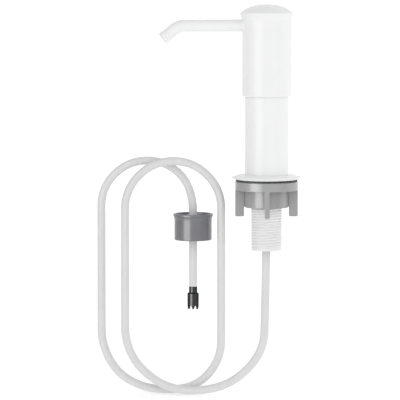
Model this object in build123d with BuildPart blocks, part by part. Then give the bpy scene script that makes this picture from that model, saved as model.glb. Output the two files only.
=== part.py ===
from build123d import *
import os
from math import atan2, cos, pi, radians, sin, sqrt, tan

# A built-in soap pump. Millimetres, +Z up.
# The origin is on the pump's axis, in the plane of the deck that the flange rests on.
# The spout points to -X, and the long suction tube is coiled beside the pump.

# Clearances shared by everything that fits together
press_fit = 0.05        # a piece pushed home into another
slide_fit = 0.15        # a piece that is dropped in, or turns, by hand
loose_fit = 0.4         # a piece that only has to miss its neighbour
rest_gap = 0.3          # what a moving piece leaves to its stop

# Pump: the cylinder's bore is what every other radius of the pump is built up from
cylinder_bore = 8.0
cylinder_wall = 1.4
cylinder_length = 60.0
cylinder_floor = 4.0
cylinder_flange = 2.0
stroke = 18.0
press_room = 2.0        # left under the head insert at the end of the stroke
gasket_thickness = 0.6
collar_plate = 7.4
collar_skirt = 12.0
collar_mouth_width = 2.4    # the collar's mouth widens by this much round the stem's hole
collar_mouth_depth = 2.1
bush_length = 7.0
bush_lip = 0.4
stem_radius = 3.4
stem_bore = 2.0
stem_depth = 6.0        # how far the stem goes into the insert and the piston
piston_length = 9.0
piston_lip = 2.5
piston_waist = 1.35     # the waist's radius is this much less than the lips'
piston_edge = 0.5
piston_slope = 0.8      # height of the cone between a lip and the waist
outlet_ball_radius = 2.5
inlet_ball_radius = 2.4
inlet_passage = 1.8
ball_headroom = 1.5     # from the resting outlet ball up to the passage to the spout
seat_radius = 3.2
cage_height = 6.0
cage_wall = 1.1
cage_ring = 1.2
cage_windows = 4
spring_wire = 0.55
spring_turns = 8
spring_room = 1.05      # between the spring and the cylinder's bore
dip_radius = 3.0
dip_bore = 2.0
dip_bottom = -30.0
neck_wall = 1.55
neck_length = 14.0

# Threaded shank below the deck and the housing tube above it, one moulding
cylinder_room = 0.5     # between the pump cylinder and the shank's bore
shank_wall = 1.9
thread_depth = 0.85
thread_pitch = 2.2
thread_turns = 25
thread_shape = (0.15, 0.42, 0.58, 0.85)     # root, crest, crest and root, as shares of the pitch
thread_start = 1.8      # from the deck down to the first thread
lead_length = 2.7       # plain end below the last thread
lead_edge = 1.2         # the chamfer that leads it into the hole
lead_step = 0.35        # the plain end's radius is this much less than the crest's
housing_wall = 2.3
housing_top = 82.0
shoulder_width = 3.0
shoulder_height = 3.0

# Flange, and the soft seal that stands proud of its underside
flange_reach = 10.8     # from the sleeve out to the flange's edge
flange_flat = 1.1       # from the sleeve out to where the dome begins
flange_edge = 0.8
flange_height = 3.0
flange_lip = 2.8        # width of the rim that bears on the deck
seal_recess = 0.5
seal_proud = 0.95

# Base sleeve and head
sleeve_wall = 2.1
sleeve_edge = 0.6
sleeve_room = 0.35      # between the sleeve and the head that slides over it
head_wall = 1.9
head_overlap = 25.0     # how far the head reaches down over the sleeve at rest
head_corner = 1.3
rim_flare = 1.7
rim_above_spout = 9.1
rim_edge = 1.1
cove_height = 6.4       # the hollow under the rim
dome_rise = 7.0         # from the rim's upper edge to the crown
dome_wall = 2.2
crown_flat = 0.55       # the crown has fallen by crown_fall of the rise at this share of its radius
crown_fall = 0.2
cove_point = (0.33, 0.42)   # a point of the cove, as shares of the flare and of the cove's height
corner_cut = 0.3        # where a rounded corner's middle lies, as a share of its radius

# Spout
spout_radius = 5.0
spout_wall = 0.8
spout_liner_wall = 0.9
spout_yaw = 8.0
spout_straight = 68.0   # from the pump's axis to the start of the bend
spout_bend = 13.0
spout_droop = 38.5
spout_tip = 12.3
spout_seat = 3.8        # the spout's inner end, from the axis
nozzle_length = 3.0
nozzle_inset = 0.4
nozzle_wall = 1.65
outlet_passage = 2.9
boss_radius = 7.5
web_wall = 1.8          # from the insert's lower end up to its web
web_room = 1.2          # between the web, or the boss's end, and the spout

# Under the deck
deck_gasket_inset = 0.4
deck_gasket_thickness = 1.4
washer_inset = 1.5
washer_thickness = 0.4
hub_wall = 5.0
hub_height = 21.3
nut_ring_height = 7.1
nut_ring_wall = 2.5
nut_web = 3.0
nut_edge = 0.4
wing_reach = 7.9        # from the hub out to the nut's outer face
wing_step = 0.6         # the wing's free end stands this far out from the hub
wing_root = 1.0         # how far the wing is sunk into the hub
wing_height = 28.7
wing_thickness = 4.1
wing_corner = 1.2
wing_count = 4

# Suction tube, its connector, the bottle cap and the foot valve
tube_radius = 3.35
tube_wall = 1.0
bend_share = 0.45       # a bend takes this share of the shorter of its two runs
connector_wall = 1.55
connector_length = 12.0
connector_seat = 6.0
barb_length = 9.5
barb_pitch = 3.0
barb_depth = 0.3
barb_land = 0.8
barb_count = 3
barb_bore = 1.4
cap_radius = 15.45
cap_wall = 1.55
cap_rim = 1.05          # how far the rim stands out from the cap's wall
cap_height = 21.7
cap_top = -30.8
cap_recess = 2.3
cap_plate = 2.0
cap_bead = 1.9          # height of the rim
cap_bead_slope = 0.3
cap_bead_foot = 0.5
cap_rim_edge = 0.6
cap_rim_land = 1.3      # from the rim's outer face in to the inner edge of its top
cap_rim_wall = 2.2      # the same at its foot
cap_neck = 5.0          # from the cap's top down to where the flared neck begins
cap_neck_step = 0.25
cap_neck_rise = 1.2
cap_edge = 0.7
cap_thread_pitch = 4.2
cap_thread_depth = 0.7
cap_thread_count = 3
cap_thread_start = 2.4  # from the liner down to the first ridge
cap_thread_shape = (0.0, 0.7, 1.3, 2.0)     # how far the ridge's four corners lie below its top
cap_hole_land = 2.0     # width of the land round the hole
cap_liner_thickness = 1.2
valve_radius = 4.65
valve_wall = 1.35
valve_neck_length = 4.9
valve_cone = 1.0
valve_roof = 1.2
valve_body_length = 9.9
tooth_length = 2.8
tooth_count = 6
tooth_gap = 3.7         # between two points, and notch_top where the notch ends
notch_top = 1.48
notch_over = 0.1        # how far the cut runs past the mouth
valve_ball_radius = 2.3
valve_seat_height = 3.0
valve_seat_bore = 1.4
valve_seat_depth = 1.0
valve_seat_lip = 0.1    # the seat's mouth is this much smaller than the ball

# The suction tube's route, as chosen: down the shank, two turns of a flat coil, and down to the valve
tube_route = [
    (0.0, 0.0, -36.0),
    (0.0, 0.0, -62.0),
    (-1.7, 2.0, -141.0),
    (-19.6, 2.4, -164.2),
    (-43.8, 3.0, -176.0),
    (-78.4, 3.6, -176.0),
    (-104.0, 4.2, -158.9),
    (-116.2, 4.8, -136.4),
    (-116.2, 7.0, -10.0),
    (-93.0, 7.6, 13.2),
    (-60.2, 8.4, 13.4),
    (-37.0, 9.0, -9.8),
    (-37.0, 11.2, -146.2),
    (-46.8, 11.6, -164.6),
    (-64.5, 12.1, -176.2),
    (-94.2, 12.8, -176.8),
    (-114.2, 13.3, -169.0),
    (-127.0, 13.6, -157.0),
    (-135.9, 14.0, -137.0),
    (-135.9, 16.2, -9.0),
    (-113.7, 16.7, 13.1),
    (-82.4, 17.4, 13.2),
    (-60.26, 18.0, -9.0),
    (-60.2, 18.0, -52.0),
    (-60.2, 18.0, -91.3),
]

# Heights and radii that follow from the sizes above
cylinder_radius = cylinder_bore + cylinder_wall
shank_bore = cylinder_radius + cylinder_room
root_radius = shank_bore + shank_wall
crest_radius = root_radius + thread_depth
housing_radius = shank_bore + housing_wall
lead_radius = crest_radius - lead_step
thread_bottom = -(thread_start + thread_turns * thread_pitch)
shank_bottom = thread_bottom - lead_length
shoulder_radius = crest_radius + shoulder_width
sleeve_bore = shoulder_radius + slide_fit
sleeve_radius = sleeve_bore + sleeve_wall
head_bore = sleeve_radius + sleeve_room
head_radius = head_bore + head_wall
rim_radius = head_radius + rim_flare
flange_hole = crest_radius + rest_gap
flange_radius = sleeve_radius + flange_reach
flange_crown = sleeve_radius + flange_flat
seal_radius = flange_radius - flange_lip - rest_gap
cylinder_top = housing_top + cylinder_flange
cylinder_bottom = cylinder_top - cylinder_length
cylinder_flange_radius = housing_radius - rest_gap
floor_top = cylinder_bottom + cylinder_floor
seat_depth = cylinder_floor / 2
neck_radius = dip_radius + neck_wall
neck_bottom = cylinder_bottom - neck_length
socket_top = cylinder_bottom - seat_depth
collar_bottom = cylinder_top + gasket_thickness
collar_top = collar_bottom + collar_plate
stem_hole = stem_radius + slide_fit
bush_bottom = cylinder_top - bush_length
piston_top = bush_bottom - rest_gap
piston_bottom = piston_top - piston_length
piston_radius = cylinder_bore - press_fit
insert_bottom = collar_top + stroke + press_room
stem_top = insert_bottom + stem_depth
stem_bottom = piston_top - stem_depth
spout_height = stem_top + outlet_ball_radius + outlet_passage + ball_headroom
boss_top = spout_height + spout_radius + web_room + loose_fit
head_bottom = collar_top - head_overlap
rim_bottom = spout_height + rim_above_spout
rim_top = rim_bottom + rim_edge
dome_top = rim_top + dome_rise
gasket_top = -seal_proud
washer_top = gasket_top - deck_gasket_thickness
nut_top = washer_top - washer_thickness
nut_bore = crest_radius + slide_fit
hub_radius = nut_bore + hub_wall
nut_radius = hub_radius + wing_reach
tube_bore = tube_radius - tube_wall
barb_radius = tube_bore - press_fit
connector_radius = dip_radius + connector_wall
connector_top = dip_bottom + connector_seat
connector_bottom = connector_top - connector_length
cap_hole = tube_radius + rest_gap
tube_end = tube_route[-1]
end_axis = (tube_end[0], tube_end[1])
valve_top = tube_end[2]
valve_neck_bottom = valve_top - valve_neck_length
valve_body_top = valve_neck_bottom - valve_cone
valve_body_bottom = valve_body_top - valve_body_length
valve_chamber = valve_radius - valve_wall

spout_direction = Vector(-cos(radians(spout_yaw)), -sin(radians(spout_yaw)), 0)
spout_plane = Plane(
    origin=(0, 0, spout_height),
    x_dir=spout_direction,
    z_dir=(-sin(radians(spout_yaw)), cos(radians(spout_yaw)), 0),
)
spout_section = Plane(origin=(0, 0, spout_height), x_dir=(0, 0, 1), z_dir=spout_direction)


def lathe(*outline, at=(0, 0), mode=Mode.ADD):
    """Turns an outline of (radius, height) corners about an upright axis."""
    side = Plane(origin=(at[0], at[1], 0), x_dir=(1, 0, 0), z_dir=(0, -1, 0))
    with BuildSketch(side) as section:
        Polygon(*outline, align=None)
    revolve(section.sketch, axis=Axis((at[0], at[1], 0), (0, 0, 1)), mode=mode)


def ring(outer, inner, low, high, at=(0, 0), mode=Mode.ADD):
    """Turns a plain ring, or a disc where the inner radius is 0."""
    lathe((inner, low), (outer, low), (outer, high), (inner, high), at=at, mode=mode)


def ball(radius, height, at=(0, 0)):
    """A ball centred on an upright axis."""
    with Locations((at[0], at[1], height)):
        Sphere(radius)


def barbs(root):
    """The outline of a barbed spigot that points down, from its root to its tip."""
    outline = []
    for step in range(barb_count):
        step_top = root - step * barb_pitch
        outline.append((barb_radius - barb_depth, step_top))
        outline.append((barb_radius - barb_depth, step_top - barb_land))
        outline.append((barb_radius, step_top - barb_land))
        outline.append((barb_radius - barb_depth, step_top - barb_pitch))
    return outline


def finish(block, name):
    """Labels a finished piece and writes it."""
    block.part.label = name
    export_step(block.part, f"parts/{name}.step")


os.makedirs("parts", exist_ok=True)

# Flange: a thin domed disc with a recess for the seal under it
with BuildPart() as flange:
    with BuildSketch(Plane.XZ):
        with BuildLine():
            Polyline(
                (flange_crown, flange_height),
                (flange_hole, flange_height),
                (flange_hole, seal_recess),
                (flange_radius - flange_lip, seal_recess),
                (flange_radius - flange_lip, 0),
                (flange_radius - flange_edge / 2, 0),
                (flange_radius, flange_edge / 2),
                (flange_radius, flange_edge),
            )
            TangentArc((flange_crown, flange_height), (flange_radius, flange_edge), tangent=(1, 0))
        make_face()
    revolve(axis=Axis.Z)
finish(flange, "flange")

with BuildPart() as flange_seal:
    ring(seal_radius, flange_hole, -seal_proud, seal_recess)
finish(flange_seal, "flange_seal")

# Threaded shank: the thread's crests stand at the pitch, one closed ridge to each turn
thread_radii = (root_radius, crest_radius, crest_radius, root_radius)
thread_outline = []
for turn in range(thread_turns):
    for radius, share in zip(thread_radii, thread_shape):
        thread_outline.append((radius, thread_bottom + (turn + share) * thread_pitch))
with BuildPart() as threaded_shank:
    lathe(
        (shank_bore, shank_bottom),
        (lead_radius - lead_edge, shank_bottom),
        (lead_radius, shank_bottom + lead_edge),
        (lead_radius, thread_bottom),
        (root_radius, thread_bottom),
        *thread_outline,
        (root_radius, -thread_start),
        (crest_radius, -thread_start),
        (crest_radius, flange_height),
        (shoulder_radius, flange_height),
        (shoulder_radius, flange_height + shoulder_height),
        (housing_radius, flange_height + shoulder_height),
        (housing_radius, housing_top),
        (shank_bore, housing_top),
    )
finish(threaded_shank, "threaded_shank")

with BuildPart() as base_sleeve:
    ring(sleeve_radius, sleeve_bore, flange_height, collar_top)
    chamfer(base_sleeve.edges().group_by(Axis.Z)[-1], length=sleeve_edge)
finish(base_sleeve, "base_sleeve")

# Pump cylinder, hung by its flange from the top of the housing tube
with BuildPart() as pump_cylinder:
    lathe(
        (inlet_passage, socket_top),
        (dip_radius + press_fit, socket_top),
        (dip_radius + press_fit, neck_bottom),
        (neck_radius, neck_bottom),
        (neck_radius, cylinder_bottom),
        (cylinder_radius, cylinder_bottom),
        (cylinder_radius, housing_top),
        (cylinder_flange_radius, housing_top),
        (cylinder_flange_radius, cylinder_top),
        (cylinder_bore, cylinder_top),
        (cylinder_bore, floor_top),
        (seat_radius, floor_top),
        (inlet_passage, floor_top - seat_depth),
    )
finish(pump_cylinder, "pump_cylinder")

# The inlet ball rests where it is tangent to the conical seat
seat_angle = atan2(seat_radius - inlet_passage, seat_depth)
seat_apex = floor_top - seat_radius / tan(seat_angle)
inlet_ball_height = seat_apex + inlet_ball_radius / sin(seat_angle)
with BuildPart() as inlet_ball:
    ball(inlet_ball_radius, inlet_ball_height)
finish(inlet_ball, "inlet_ball")

cage_bore = inlet_ball_radius + loose_fit
cage_top = floor_top + cage_height
with BuildPart() as ball_cage:
    ring(cylinder_bore - slide_fit, cage_bore, floor_top, floor_top + cage_ring)
    ring(cage_bore + cage_wall, cage_bore, floor_top, cage_top)
    ring(cage_bore + cage_wall, cage_bore / 2, cage_top - cage_ring, cage_top)
    with BuildPart(mode=Mode.PRIVATE) as window:
        with Locations((cage_bore + cage_wall, 0, floor_top + cage_height / 2)):
            Box(4 * cage_wall, cage_bore, cage_height - 2.5 * cage_ring)
    with PolarLocations(0, cage_windows):
        add(window.part, mode=Mode.SUBTRACT)
finish(ball_cage, "ball_cage")

spring_bottom = floor_top + cage_ring + spring_wire + press_fit
spring_top = piston_bottom - spring_wire - press_fit
spring_radius = cylinder_bore - spring_wire - spring_room
with BuildPart() as return_spring:
    with BuildLine() as coil:
        Helix(
            pitch=(spring_top - spring_bottom) / spring_turns,
            height=spring_top - spring_bottom,
            radius=spring_radius,
            center=(0, 0, spring_bottom),
        )
    with BuildSketch(Plane(origin=coil.line @ 0, x_dir=(1, 0, 0), z_dir=coil.line % 0)):
        Circle(spring_wire)
    sweep(is_frenet=True)
finish(return_spring, "return_spring")

# Piston with a lip at each end, and the hollow stem that carries it
with BuildPart() as piston:
    lathe(
        (stem_bore, piston_bottom),
        (piston_radius - piston_edge, piston_bottom),
        (piston_radius, piston_bottom + piston_edge),
        (piston_radius, piston_bottom + piston_lip),
        (piston_radius - piston_waist, piston_bottom + piston_lip + piston_slope),
        (piston_radius - piston_waist, piston_top - piston_lip - piston_slope),
        (piston_radius, piston_top - piston_lip),
        (piston_radius, piston_top - piston_edge),
        (piston_radius - piston_edge, piston_top),
        (stem_radius + press_fit, piston_top),
        (stem_radius + press_fit, stem_bottom),
        (stem_bore, stem_bottom),
    )
finish(piston, "piston")

with BuildPart() as pump_stem:
    ring(stem_radius, stem_bore, stem_bottom, stem_top)
finish(pump_stem, "pump_stem")

outlet_ball_height = stem_top + sqrt(outlet_ball_radius**2 - stem_bore**2)
with BuildPart() as outlet_ball:
    ball(outlet_ball_radius, outlet_ball_height)
finish(outlet_ball, "outlet_ball")

with BuildPart() as guide_bush:
    ring(cylinder_bore - press_fit, stem_hole, bush_bottom, collar_bottom)
    ring(cylinder_bore + bush_lip, stem_hole, cylinder_top, collar_bottom)
finish(guide_bush, "guide_bush")

with BuildPart() as collar_gasket:
    ring(cylinder_flange_radius, cylinder_bore + bush_lip + slide_fit, cylinder_top, collar_bottom)
finish(collar_gasket, "collar_gasket")

# Collar: caps the housing tube and closes the sleeve, with a wide mouth round the stem
with BuildPart() as pump_collar:
    lathe(
        (stem_hole + rest_gap, collar_bottom),
        (housing_radius + slide_fit, collar_bottom),
        (housing_radius + slide_fit, collar_bottom - collar_skirt),
        (shoulder_radius, collar_bottom - collar_skirt),
        (shoulder_radius, collar_top),
        (stem_hole + collar_mouth_width, collar_top),
        (stem_hole + rest_gap, collar_top - collar_mouth_depth),
    )
finish(pump_collar, "pump_collar")

# Head insert: the boss that joins stem and spout, on a web that fills the head's bore
chamber_radius = outlet_ball_radius + loose_fit
web_top = spout_height - spout_radius - web_room
with BuildPart() as head_insert:
    lathe(
        (0, boss_top),
        (0, spout_height + outlet_passage),
        (chamber_radius, spout_height + outlet_passage),
        (chamber_radius, stem_top),
        (stem_radius + press_fit, stem_top),
        (stem_radius + press_fit, insert_bottom),
        (boss_radius, insert_bottom),
        (boss_radius, insert_bottom + web_wall),
        (head_bore - press_fit, insert_bottom + web_wall),
        (head_bore - press_fit, web_top),
        (boss_radius, web_top),
        (boss_radius, boss_top),
    )
    with BuildSketch(spout_section):
        Circle(outlet_passage)
    extrude(amount=2 * boss_radius, mode=Mode.SUBTRACT)
    with BuildSketch(spout_section.offset(spout_seat)):
        Circle(spout_radius + press_fit)
    extrude(amount=boss_radius, mode=Mode.SUBTRACT)
finish(head_insert, "head_insert")

# Head: straight sleeve, a cove under the rim, and a dome that is flat at its crown
crown_reach = crown_flat * rim_radius
crown_drop = crown_fall * dome_rise
with BuildPart() as pump_head:
    with BuildSketch(Plane.XZ):
        with BuildLine():
            Spline(
                (0, dome_top),
                (crown_reach, dome_top - crown_drop),
                (rim_radius, rim_top),
                tangents=[(1, 0), (1, -1)],
            )
            Line((rim_radius, rim_top), (rim_radius, rim_bottom))
            ThreePointArc(
                (rim_radius, rim_bottom),
                (head_radius + cove_point[0] * rim_flare, rim_bottom - cove_point[1] * cove_height),
                (head_radius, rim_bottom - cove_height),
            )
            Polyline(
                (head_radius, rim_bottom - cove_height),
                (head_radius, head_bottom + head_corner),
                (head_radius - corner_cut * head_corner, head_bottom + corner_cut * head_corner),
                (head_radius - head_corner, head_bottom),
                (head_bore, head_bottom),
                (head_bore, boss_top),
            )
            Spline(
                (head_bore, boss_top),
                (crown_reach, dome_top - crown_drop - dome_wall),
                (0, dome_top - dome_wall),
                tangents=[(-0.4, 1), (-1, 0)],
            )
            Line((0, dome_top - dome_wall), (0, dome_top))
        make_face()
    revolve(axis=Axis.Z)
    with BuildSketch(spout_section):
        Circle(spout_radius + press_fit)
    extrude(amount=2 * head_radius, mode=Mode.SUBTRACT)
finish(pump_head, "pump_head")

# Spout: a bent tube, the liner inside it and the nozzle ring in its mouth
with BuildLine(spout_plane) as spout_path:
    spout_run = Line((spout_seat, 0), (spout_straight, 0))
    spout_curve = JernArc(spout_run @ 1, spout_run % 1, spout_bend, -spout_droop)
    Line(spout_curve @ 1, (spout_curve @ 1) + (spout_curve % 1) * spout_tip)
with BuildLine(spout_plane) as liner_path:
    liner_run = Line((spout_seat, 0), (spout_straight, 0))
    liner_curve = JernArc(liner_run @ 1, liner_run % 1, spout_bend, -spout_droop)
    Line(liner_curve @ 1, (liner_curve @ 1) + (liner_curve % 1) * (spout_tip - nozzle_length))
spout_bore = spout_radius - spout_wall
liner_radius = spout_bore - press_fit
with BuildPart() as spout_tube:
    with BuildSketch(spout_section.offset(spout_seat)):
        Circle(spout_radius)
        Circle(spout_bore, mode=Mode.SUBTRACT)
    sweep(path=spout_path.line)
finish(spout_tube, "spout_tube")

with BuildPart() as spout_liner:
    with BuildSketch(spout_section.offset(spout_seat)):
        Circle(liner_radius)
        Circle(liner_radius - spout_liner_wall, mode=Mode.SUBTRACT)
    sweep(path=liner_path.line)
finish(spout_liner, "spout_liner")

mouth_plane = Plane(origin=liner_path.line @ 1, z_dir=liner_path.line % 1)
with BuildPart() as nozzle_insert:
    with BuildSketch(mouth_plane):
        Circle(liner_radius)
        Circle(liner_radius - nozzle_wall, mode=Mode.SUBTRACT)
    extrude(amount=nozzle_length - nozzle_inset)
finish(nozzle_insert, "nozzle_insert")

# Under the deck: rubber gasket, slip washer and the winged nut
with BuildPart() as deck_gasket:
    ring(nut_radius - deck_gasket_inset, crest_radius + loose_fit, washer_top, gasket_top)
finish(deck_gasket, "deck_gasket")

with BuildPart() as nut_washer:
    ring(nut_radius - washer_inset, crest_radius + loose_fit, nut_top, washer_top)
finish(nut_washer, "nut_washer")

wing_inner = hub_radius + wing_step
wing_outer = sqrt(nut_radius**2 - (wing_thickness / 2) ** 2)
with BuildPart() as wing:
    with BuildSketch(Plane.XZ) as wing_side:
        Polygon(
            (wing_inner, nut_top - wing_height),
            (wing_outer, nut_top - wing_height),
            (wing_outer, nut_top - nut_web / 2),
            (hub_radius - wing_root, nut_top - nut_web / 2),
            (hub_radius - wing_root, nut_top - hub_height),
            (wing_inner, nut_top - hub_height),
            align=None,
        )
        fillet(wing_side.vertices().group_by(Axis.Y)[0], radius=wing_corner)
    extrude(amount=wing_thickness / 2, both=True)
with BuildPart() as mounting_nut:
    lathe(
        (nut_bore, nut_top),
        (nut_radius - nut_edge, nut_top),
        (nut_radius, nut_top - nut_edge),
        (nut_radius, nut_top - nut_ring_height),
        (nut_radius - nut_ring_wall, nut_top - nut_ring_height),
        (nut_radius - nut_ring_wall, nut_top - nut_web),
        (hub_radius, nut_top - nut_web),
        (hub_radius, nut_top - hub_height + nut_edge),
        (hub_radius - nut_edge, nut_top - hub_height),
        (nut_bore, nut_top - hub_height),
    )
    with PolarLocations(0, wing_count):
        add(wing.part)
finish(mounting_nut, "mounting_nut")

# Rigid dip tube inside the shank, and the barbed connector on its lower end
with BuildPart() as dip_tube:
    ring(dip_radius, dip_bore, dip_bottom, socket_top)
finish(dip_tube, "dip_tube")

with BuildPart() as tube_connector:
    lathe(
        (barb_bore, dip_bottom),
        (dip_radius + press_fit, dip_bottom),
        (dip_radius + press_fit, connector_top),
        (connector_radius, connector_top),
        (connector_radius, connector_bottom),
        *barbs(connector_bottom),
        (barb_bore, connector_bottom - barb_length),
    )
finish(tube_connector, "tube_connector")

# Suction tube: straight runs joined by arcs as large as the runs allow
corner_radii = []
corner_turns = []
for before, corner, after in zip(tube_route, tube_route[1:], tube_route[2:]):
    run_in = Vector(corner) - Vector(before)
    run_out = Vector(after) - Vector(corner)
    turn_angle = run_in.get_angle(run_out)
    shorter_run = min(run_in.length, run_out.length)
    corner_radii.append(bend_share * shorter_run / tan(radians(turn_angle) / 2))
    corner_turns.append(turn_angle)
with BuildLine() as tube_path:
    FilletPolyline(*tube_route, radius=corner_radii)
with BuildPart() as supply_tube:
    with BuildSketch(Plane(origin=tube_path.line @ 0, x_dir=(1, 0, 0), z_dir=tube_path.line % 0)):
        Circle(tube_radius)
        Circle(tube_bore, mode=Mode.SUBTRACT)
    sweep(path=tube_path.line)
finish(supply_tube, "supply_tube")

tube_section = pi * (tube_radius**2 - tube_bore**2)
tube_length = tube_path.wires()[0].length
print("tube length", round(tube_length, 1))
print("tube volume", round(supply_tube.part.volume, 1), "of", round(tube_section * tube_length, 1))
for turn_angle, corner_radius in zip(corner_turns, corner_radii):
    print(f"turn {turn_angle:5.1f} degrees, radius {corner_radius:8.1f}")

# Bottle cap: hangs mouth down on the tube, with a flared rim round its sunken top
cap_bottom = cap_top - cap_height
cap_rim_radius = cap_radius + cap_rim
cap_bore = cap_radius - cap_wall
cap_ceiling = cap_top - cap_recess - cap_plate
cap_crest = cap_bore - cap_thread_depth
cap_thread_radii = (cap_bore, cap_crest, cap_crest, cap_bore)
cap_threads = []
for ridge in range(cap_thread_count):
    ridge_top = cap_ceiling - cap_liner_thickness - cap_thread_start - ridge * cap_thread_pitch
    for radius, drop in zip(cap_thread_radii, cap_thread_shape):
        cap_threads.append((radius, ridge_top - drop))
with BuildPart() as bottle_cap:
    lathe(
        (cap_hole, cap_top - cap_recess),
        (cap_hole, cap_ceiling),
        (cap_bore, cap_ceiling),
        *cap_threads,
        (cap_bore, cap_bottom),
        (cap_radius - cap_edge, cap_bottom),
        (cap_radius, cap_bottom + cap_edge),
        (cap_radius, cap_top - cap_neck),
        (cap_radius + cap_neck_step, cap_top - cap_neck + cap_neck_rise),
        (cap_rim_radius - cap_bead_slope, cap_top - cap_bead),
        (cap_rim_radius, cap_top - cap_bead + cap_bead_foot),
        (cap_rim_radius, cap_top - cap_rim_edge),
        (cap_rim_radius - cap_rim_edge, cap_top),
        (cap_rim_radius - cap_rim_land, cap_top),
        (cap_rim_radius - cap_rim_wall, cap_top - cap_recess + rest_gap),
        (cap_hole + cap_hole_land, cap_top - cap_recess),
        at=end_axis,
    )
finish(bottle_cap, "bottle_cap")

with BuildPart() as cap_liner:
    ring(cap_bore - slide_fit, cap_hole, cap_ceiling - cap_liner_thickness, cap_ceiling, at=end_axis)
finish(cap_liner, "cap_liner")

# Foot valve: barbed neck, a chamber for the ball, and teeth that keep its mouth off the bottle's floor
chamber_bottom = valve_body_bottom + valve_seat_height
chamber_top = valve_body_top - valve_roof
valve_barb = [(radius, 2 * valve_top - height) for radius, height in barbs(valve_top)]
with BuildPart() as notch:
    with BuildSketch(Plane.YZ.offset(valve_chamber / 2)):
        Polygon(
            (-tooth_gap / 2, valve_body_bottom - tooth_length - notch_over),
            (-notch_top / 2, valve_body_bottom),
            (notch_top / 2, valve_body_bottom),
            (tooth_gap / 2, valve_body_bottom - tooth_length - notch_over),
            align=None,
        )
    extrude(amount=valve_radius)
with BuildPart() as valve_body:
    lathe(
        (barb_bore, valve_top + barb_length),
        *valve_barb[::-1],
        (tube_radius, valve_top),
        (tube_radius, valve_neck_bottom),
        (valve_radius, valve_body_top),
        (valve_radius, valve_body_bottom - tooth_length),
        (valve_chamber, valve_body_bottom - tooth_length),
        (valve_chamber, chamber_top),
        (barb_bore, chamber_top),
        at=end_axis,
    )
    with Locations((end_axis[0], end_axis[1], 0)):
        with PolarLocations(0, tooth_count):
            add(notch.part, mode=Mode.SUBTRACT)
finish(valve_body, "valve_body")

valve_seat_mouth = valve_ball_radius - valve_seat_lip
with BuildPart() as valve_seat:
    lathe(
        (valve_seat_bore, valve_body_bottom),
        (valve_chamber - press_fit, valve_body_bottom),
        (valve_chamber - press_fit, chamber_bottom),
        (valve_seat_mouth, chamber_bottom),
        (valve_seat_bore, chamber_bottom - valve_seat_depth),
        at=end_axis,
    )
finish(valve_seat, "valve_seat")

valve_seat_angle = atan2(valve_seat_mouth - valve_seat_bore, valve_seat_depth)
valve_apex = chamber_bottom - valve_seat_mouth / tan(valve_seat_angle)
with BuildPart() as valve_ball:
    ball(valve_ball_radius, valve_apex + valve_ball_radius / sin(valve_seat_angle), at=end_axis)
finish(valve_ball, "valve_ball")

print("shank bottom", round(shank_bottom, 2), "collar top", round(collar_top, 2))
print("spout height", round(spout_height, 2))
print("head", round(head_bottom, 2), round(rim_top, 2), round(dome_top, 2), "nut", round(nut_top, 2))
mouth = spout_path.line @ 1
print("spout mouth", round(mouth.X, 1), round(mouth.Y, 1), round(mouth.Z, 1))
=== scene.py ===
# %% [markdown]
# # A built-in soap pump and its long suction tube
# The pump stands on a sink deck. Its threaded shank goes down through a hole, a winged nut
# clamps it from below, and a metre of soft tube reaches the soap bottle in the cupboard. The
# measured CAD model comes in first, because every surface that is made here has to lie where
# that model says, and has to move with the right one of its bodies.

# %% Load the measured model
import math

import bmesh
import bpy
import numpy as np
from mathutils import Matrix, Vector


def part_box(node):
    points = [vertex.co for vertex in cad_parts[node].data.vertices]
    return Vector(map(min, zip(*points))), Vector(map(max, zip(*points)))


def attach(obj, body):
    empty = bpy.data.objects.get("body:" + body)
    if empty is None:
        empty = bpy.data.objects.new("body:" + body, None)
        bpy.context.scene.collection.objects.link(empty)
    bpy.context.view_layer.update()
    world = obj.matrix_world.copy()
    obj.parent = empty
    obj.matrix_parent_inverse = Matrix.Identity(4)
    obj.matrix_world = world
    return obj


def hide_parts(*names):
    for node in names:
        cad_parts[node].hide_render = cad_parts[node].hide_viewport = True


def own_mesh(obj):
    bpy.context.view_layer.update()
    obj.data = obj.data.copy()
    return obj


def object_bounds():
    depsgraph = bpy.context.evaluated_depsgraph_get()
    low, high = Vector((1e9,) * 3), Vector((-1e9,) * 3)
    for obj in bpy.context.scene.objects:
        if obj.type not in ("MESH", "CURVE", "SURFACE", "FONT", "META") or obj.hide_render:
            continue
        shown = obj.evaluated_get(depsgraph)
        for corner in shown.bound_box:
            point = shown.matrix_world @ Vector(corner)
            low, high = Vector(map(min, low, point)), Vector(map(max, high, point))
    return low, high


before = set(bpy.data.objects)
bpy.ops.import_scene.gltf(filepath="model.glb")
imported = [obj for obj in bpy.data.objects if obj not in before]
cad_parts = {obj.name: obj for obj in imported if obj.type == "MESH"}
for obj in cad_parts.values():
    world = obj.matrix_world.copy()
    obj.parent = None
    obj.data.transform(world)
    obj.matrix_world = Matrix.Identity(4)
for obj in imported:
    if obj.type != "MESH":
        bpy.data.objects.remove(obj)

cad_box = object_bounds()
print("CAD box in mm:", [[round(1000 * number, 1) for number in corner] for corner in cad_box])

# %% [markdown]
# ## The camera
# A product camera stands far back with a long lens, so that upright edges stay upright and
# the near side of the pump isn't swollen. It looks down by a few degrees, which is enough to
# show the flange and the washers as thin ellipses.

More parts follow.
